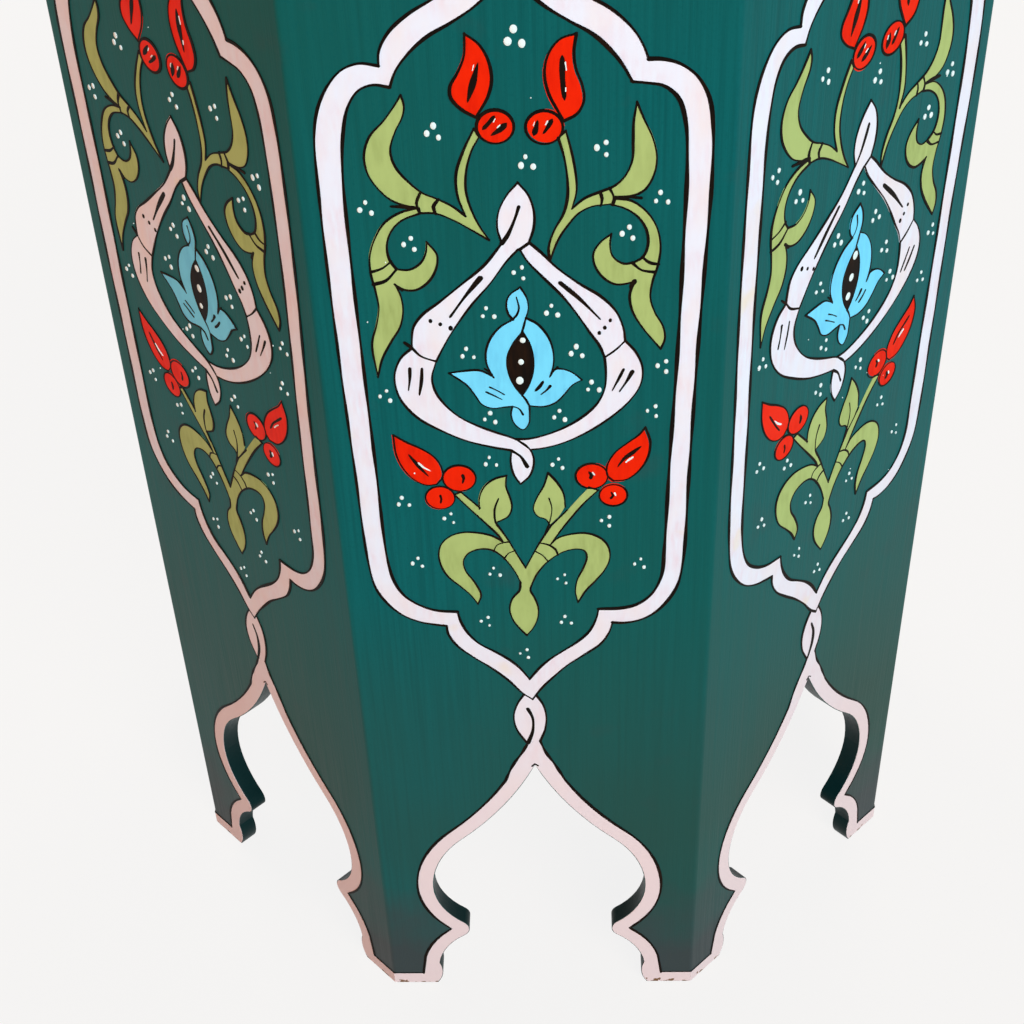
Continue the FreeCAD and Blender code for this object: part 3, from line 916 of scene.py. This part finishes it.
def lobed_star(half_lobe):
    """A closed outline of eight pointed lobes, clockwise. half_lobe runs from a cusp to a lobe's point."""
    sides = []
    for k in range(len(SIDES)):
        turn = -FACE_TURN * k
        sides.append([turned((-u, z), turn) for u, z in half_lobe[-2::-1]])
        sides.append([turned(point, turn - FACE_TURN) for point in half_lobe[1:]])
    return outline(*sides)


def draw_top(layers):
    """The table top: an octagonal border, a lobed star, sprays all round and blue flowers in the middle."""
    pen = Pen(top_place(), layers, TOP_SEED)
    draw_frame(pen, *(octagon(TOP_APOTHEM - inset) for inset in BORDER_INSETS))
    draw_frame(pen, lobed_star(STAR_OUTER), lobed_star(STAR_INNER))
    draw_frame(pen, *(circle(0, 0, radius, RING_POINTS) for radius in RING_RADII))
    pen.shape("red", circle(0, 0, MIDDLE_BERRY))
    for k in range(len(SIDES)):
        turn = FACE_TURN * k
        place = top_place(turn, **SPRAY_ON_TOP)
        draw_spray(Pen(place, layers, SPRAY_SEED + k, SPRAY_ON_TOP["scale"]))
        pen.cluster(*turned((0, CORNER_DOTS_AT), turn + FACE_TURN / 2), CORNER_DOT_RADIUS)
        pen.cluster(*turned((0, LOBE_DOTS_AT), turn), HIGH_DOT_RADIUS)
    for k in range(MIDDLE_FLOWERS):
        turn = math.tau / MIDDLE_FLOWERS * k
        place = top_place(turn, **FLOWER_ON_TOP)
        draw_blue_flower(Pen(place, layers, FLOWER_SEED + k, FLOWER_ON_TOP["scale"]))
        pen.cluster(*turned((0, MIDDLE_DOTS_AT), turn + FACE_TURN), HIGH_DOT_RADIUS)


class Nodes:
    """The nodes of a material or of the world."""

    def __init__(self, tree):
        self.tree = tree

    def add(self, kind, inputs=None, **settings):
        node = self.tree.nodes.new("ShaderNode" + kind)
        for key, value in settings.items():
            setattr(node, key, value)
        for key, value in (inputs or {}).items():
            self.feed(node.inputs[key], value)
        return node

    def feed(self, socket, value):
        if isinstance(value, bpy.types.NodeSocket):
            self.tree.links.new(value, socket)
        else:
            socket.default_value = (*value, 1) if socket.type == "RGBA" else value

    def math(self, operation, first, second):
        return self.add("Math", {0: first, 1: second}, operation=operation).outputs["Value"]

    def spread(self, value, start=0, end=1, low=0, high=1):
        """The value from start to end, stretched to run from low to high."""
        inputs = {"Value": value, "From Min": start, "From Max": end, "To Min": low, "To Max": high}
        return self.add("MapRange", inputs).outputs["Result"]

    def seen(self):
        """1 for a ray that the camera sends out, straight or by way of a mirror or glass, and 0 for light."""
        rays = self.add("LightPath").outputs
        bent = self.math("MAXIMUM", rays["Is Glossy Ray"], rays["Is Transmission Ray"])
        return self.math("MAXIMUM", rays["Is Camera Ray"], bent)


class Surface(Nodes):
    """A material made of nodes: one principled shader and the textures that feed it."""

    def __init__(self, name, tone=None, roughness=ROUGHNESS, specular=SPECULAR):
        self.material = bpy.data.materials.new(name)
        self.material.use_nodes = True
        super().__init__(self.material.node_tree)
        self.shader = self.tree.nodes["Principled BSDF"]
        self.position = self.add("TexCoord").outputs["Object"]
        self.tone = tone
        self.feed_shader("Roughness", roughness)
        self.feed_shader("Specular IOR Level", specular)

    def feed_shader(self, name, value):
        self.feed(self.shader.inputs[name], value)

    def normal(self):
        return self.add("NewGeometry").outputs["True Normal"]

    def upward(self, vector):
        """The part of a vector that points up."""
        return self.add("SeparateXYZ", {"Vector": vector}).outputs["Z"]

    def noise(self, scale, detail=3, stretch=(1, 1, 1)):
        mapping = self.add("Mapping", {"Vector": self.position, "Scale": stretch})
        inputs = {"Vector": mapping.outputs["Vector"], "Scale": scale, "Detail": detail}
        return self.add("TexNoise", inputs).outputs["Fac"]

    def mix(self, share, first, second):
        inputs = {"Factor": share, MIX_FIRST: first, MIX_SECOND: second}
        return self.add("Mix", inputs, data_type="RGBA").outputs[MIX_RESULT]

    def colour(self, tone):
        self.tone = tone
        self.feed_shader("Base Color", tone)

    def cover(self, tone, share):
        """Lays another tone over the surface, fully where the share is 1."""
        self.colour(self.mix(share, self.tone, tone))

    def veil(self, tone, value, start, end, share=1):
        """Lays another tone over the surface, from none to the share as the value runs from start to end."""
        self.cover(tone, self.spread(value, start, end, high=share))

    def roughen(self, noise, low, high):
        self.feed_shader("Roughness", self.spread(noise, *ROUGHENING, low, high))

    def bump(self, height, strength, depth):
        inputs = {"Height": height, "Strength": strength, "Distance": depth}
        self.feed_shader("Normal", self.add("Bump", inputs).outputs["Normal"])


def wood_colour(surface, along):
    """Sawn wood with its grain stretched one way."""
    grain = surface.noise(scale=170, detail=5, stretch=along)
    pores = surface.noise(scale=900, detail=2, stretch=along)
    tone = surface.mix(surface.spread(grain, start=0.35, end=0.65), WOOD_DARK, WOOD_LIGHT)
    return surface.mix(surface.spread(pores, start=0.62, end=0.75, high=0.5), tone, WOOD_DARK)


def bare_wood(name, along):
    surface = Surface(name, roughness=0.75, specular=0.25)
    surface.colour(wood_colour(surface, along))
    surface.roughen(surface.noise(scale=260, stretch=along), low=0.66, high=0.85)
    surface.bump(surface.noise(scale=420, detail=4, stretch=along), strength=0.35, depth=0.0006)
    return surface


def outwardness(surface):
    """How far a face looks away from the table's axis: 1 outside a board, -1 inside, 0 on its edge."""
    flat = surface.add("VectorMath", {0: surface.position, 1: (1, 1, 0)}, operation="MULTIPLY")
    radial = surface.add("VectorMath", {0: flat.outputs["Vector"]}, operation="NORMALIZE")
    inputs = {0: surface.normal(), 1: radial.outputs["Vector"]}
    return surface.add("VectorMath", inputs, operation="DOT_PRODUCT").outputs["Value"]


def teal_paint(name, along):
    """Dark teal paint, brushed along the board."""
    surface = Surface(name, TEAL_DARK, specular=PAINT_SPECULAR)
    streaks = surface.noise(scale=620, detail=4, stretch=along)
    hairs = surface.noise(scale=2200, detail=2, stretch=along)
    clouds = surface.noise(scale=6, detail=2, stretch=(1, 1, 0.6))
    mottle = surface.noise(scale=800, detail=2)
    surface.veil(TEAL, streaks, start=0.25, end=0.62)
    surface.veil(TEAL_GREEN, clouds, start=0.38, end=0.68, share=0.6)
    surface.veil(TEAL_DARK, mottle, start=0.52, end=0.75, share=0.5)
    surface.veil(TEAL_DARK, hairs, start=0.6, end=0.8, share=0.15)
    surface.bump(surface.math("ADD", streaks, hairs), strength=0.16, depth=0.0004)
    surface.roughen(streaks, low=0.32, high=0.44)
    return surface


def board_paint():
    """Paint of the side boards: greyer and browner low down, as wear by feet and brooms and also as a painted
    reflection of the floor; painted shade on their edges, as in the arches; bare inside.
    """
    surface = teal_paint("teal_boards", ALONG_Z)
    height = surface.upward(surface.position)
    patches = surface.spread(surface.noise(scale=9, stretch=(1, 1, 0.5)), start=0.28, end=0.68, low=0.35)
    # Low down the boards turn greyer and browner: wear, and also a painted reflection of the floor
    surface.cover(TEAL_WORN_AND_SHEEN, surface.math("MULTIPLY", surface.spread(height, *RUBBED_AND_SHEEN), patches))
    dust_and_sheen = surface.math("ADD", surface.spread(height, *DUSTY_AND_SHEEN), surface.noise(scale=34, detail=4))
    surface.veil(SLATE_DUST_AND_SHEEN, dust_and_sheen, start=0.62, end=1.3, share=0.9)
    facing = outwardness(surface)
    # Painted shade: each face of a board that does not look outwards, as in the arches, is darkened
    surface.cover(TEAL_PAINTED_SHADE, surface.math("LESS_THAN", facing, FACING))
    surface.cover(wood_colour(surface, ALONG_Z), surface.math("LESS_THAN", facing, -FACING))
    return surface


def top_paint():
    """Paint of the table top, which is bare underneath."""
    surface = teal_paint("teal_top", ALONG_X)
    bare = surface.math("LESS_THAN", surface.upward(surface.normal()), -FACING)
    surface.cover(wood_colour(surface, ALONG_X), bare)
    return surface


def ornament_paint(name, tone, thin, specular=PAINT_SPECULAR):
    """A brushed colour, with another tone where the brush laid less."""
    surface = Surface(name, tone, specular=specular)
    streaks = surface.noise(scale=420, detail=4, stretch=(1, 1, 0.2))
    clouds = surface.noise(scale=60)
    streaky = surface.spread(streaks, start=0.35, end=0.7)
    cloudy = surface.spread(clouds, start=0.35, end=0.65)
    surface.cover(thin, surface.math("MULTIPLY", streaky, cloudy))
    surface.roughen(clouds, low=0.36, high=0.5)
    surface.bump(streaks, strength=0.12, depth=0.0003)
    return surface


def white_paint():
    """Off-white paint, pinker near the floor, with a few cream stains and chips worn to the wood."""
    surface = ornament_paint("white_paint", WHITE, WHITE_THIN)
    blush = surface.noise(scale=75, detail=4, stretch=(1, 1, 0.4))
    stains = surface.noise(scale=38, detail=2)
    height = surface.upward(surface.position)
    chips = surface.math("MULTIPLY", surface.spread(height, *CHIPPED), surface.noise(scale=260))
    surface.veil(WHITE_BLUSH, blush, start=0.45, end=0.72, share=0.75)
    surface.veil(CREAM_STAIN, stains, start=0.68, end=0.78, share=0.8)
    surface.veil(WHITE_LOW, height, *TINTED)
    surface.veil(CHIP_BROWN, chips, start=0.5, end=0.56)
    return surface


def steel(name):
    surface = Surface(name, STEEL_DARK, roughness=0.45)
    wear = surface.noise(scale=600)
    surface.feed_shader("Metallic", 1)
    surface.cover(STEEL_LIGHT, wear)
    surface.roughen(wear, low=0.36, high=0.55)
    surface.bump(wear, strength=0.1, depth=0.0002)
    return surface


def floor_paint():
    """A pale matt floor that throws back warm light. It glows where it is seen, and keeps the shadow."""
    surface = Surface("pale_floor", FLOOR_WARM, roughness=0.9, specular=0.05)
    surface.cover(FLOOR_PALE, surface.noise(scale=3, detail=2))
    glow = surface.add("Emission", {"Color": LIGHT, "Strength": 1})
    share = surface.math("MULTIPLY", surface.seen(), FLOOR_GLOW)
    inputs = {0: share, 1: surface.shader.outputs["BSDF"], 2: glow.outputs["Emission"]}
    mixed = surface.add("MixShader", inputs)
    surface.feed(surface.tree.nodes["Material Output"].inputs["Surface"], mixed.outputs["Shader"])
    return surface


# Each paint's pieces, its slot and its surface
PAINTS = {
    "white": ("white_bands", "white_paint", white_paint()),
    "leaf": ("leaves", "leaf_green_paint", ornament_paint("leaf_paint", LEAF, LEAF_THIN)),
    "red": ("red_flowers", "red_paint", ornament_paint("red_paint", RED, RED_THIN)),
    "blue": ("blue_flower", "blue_paint", ornament_paint("blue_paint", BLUE, BLUE_THIN)),
    "black": ("black_lines", "black_paint",
              ornament_paint("black_paint", BLACK, BLACK_THIN, BLACK_SPECULAR)),
    "dots": ("white_dots", "white_paint", ornament_paint("dot_paint", DOT, DOT_THIN)),
}


def put_in_scene(name, data):
    """A new object in the scene that holds the data."""
    thing = bpy.data.objects.new(name, data)
    bpy.context.scene.collection.objects.link(thing)
    return thing


def make_pieces(layers, face):
    """One piece of paint for each colour on a face."""
    for colour, layer in layers.items():
        name, slot, surface = PAINTS[colour]
        mesh = bpy.data.meshes.new(f"{name}_{face}")
        mesh.from_pydata(layer.points, [], layer.faces)
        shell = bmesh.new()
        shell.from_mesh(mesh)
        bmesh.ops.recalc_face_normals(shell, faces=shell.faces)
        shell.to_mesh(mesh)
        shell.free()
        mesh.shade_smooth()
        mesh.set_sharp_from_angle(angle=SHARP_EDGE)
        mesh.materials.append(surface.material)
        piece = put_in_scene(f"{name}_{face}", mesh)
        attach(piece, "root")


def paint_table():
    """The ornament on the boards and on the top. The front board carries the drawing as it is."""
    for k, side in enumerate(SIDES):
        layers = {colour: PaintLayer() for colour in PAINTS}
        place = board_place(FACE_TURN * k, seed=k, wobble=HAND_WOBBLE if k else 0)
        draw_board(Pen(place, layers, BOARD_SEED + k))
        make_pieces(layers, side)
    layers = {colour: PaintLayer() for colour in PAINTS}
    draw_top(layers)
    make_pieces(layers, "top")


def finish_nodes():
    """A surface on every solid, by the start of its name. Of two starts that fit, the later one counts."""
    fastener_steel = steel("fastener_steel")
    starts = {
        "panel": board_paint(),
        "top_plank": top_paint(),
        "corner_strip": bare_wood("strip_wood", ALONG_Z),
        "cleat_": bare_wood("cleat_wood", LEVEL),
        "top_tongue": bare_wood("tongue_wood", ALONG_X),
        "top_screws": fastener_steel,
        "cleat_nails": fastener_steel,
        "strip_brads": fastener_steel,
    }
    for name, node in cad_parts.items():
        for start, surface in starts.items():
            if name.startswith(start):
                node.data.materials.clear()
                node.data.materials.append(surface.material)


def make_floor():
    bpy.ops.mesh.primitive_circle_add(vertices=FLOOR_SIDES, radius=FLOOR_RADIUS, fill_type="NGON",
                                      location=(0, 0, -FLOOR_DROP))
    floor = bpy.context.object
    floor.name = "floor"
    floor.data.materials.append(floor_paint().material)


def make_lamp(name, place, size, power, colour):
    lamp = bpy.data.lights.new(name, "AREA")
    lamp.size = size
    lamp.energy = power
    lamp.color = colour
    holder = put_in_scene(name, lamp)
    holder.location = place
    holder.rotation_euler = (Vector(LAMP_AIM) - Vector(place)).to_track_quat("-Z", "Y").to_euler()


def make_warm_light():
    light = bpy.data.lights.new("warm_left", "SUN")
    light.energy = WARM_POWER
    light.color = WARM_COLOUR
    light.angle = WARM_SPREAD
    holder = put_in_scene("warm_left", light)
    holder.rotation_euler = Vector(WARM_FROM).to_track_quat("Z", "Y").to_euler()


def make_world():
    """Even light from all round, and a pale horizon where it is seen or reflected."""
    world = bpy.data.worlds.new("studio")
    world.use_nodes = True
    bpy.context.scene.world = world
    nodes = Nodes(world.node_tree)
    background = world.node_tree.nodes["Background"]
    nodes.feed(background.inputs["Color"], LIGHT)
    nodes.feed(background.inputs["Strength"], nodes.spread(nodes.seen(), low=WORLD_LIGHT, high=HORIZON))


def make_camera():
    camera = bpy.data.cameras.new("camera")
    camera.lens = CAMERA_LENS
    camera.sensor_width = CAMERA_SENSOR
    camera.clip_start = CAMERA_NEAR
    holder = put_in_scene("camera", camera)
    turn = Matrix.Rotation(-CAMERA_YAW, 4, "Z") @ Matrix.Rotation(math.pi / 2 - CAMERA_PITCH, 4, "X")
    holder.matrix_world = Matrix.Translation(CAMERA_PLACE) @ turn @ Matrix.Rotation(CAMERA_ROLL, 4, "Z")
    bpy.context.scene.camera = holder


finish_nodes()
paint_table()
make_floor()
make_world()
for lamp_name, settings in LAMPS.items():
    make_lamp(lamp_name, **settings)
make_warm_light()
make_camera()
bpy.context.scene.view_settings.view_transform = "Standard"
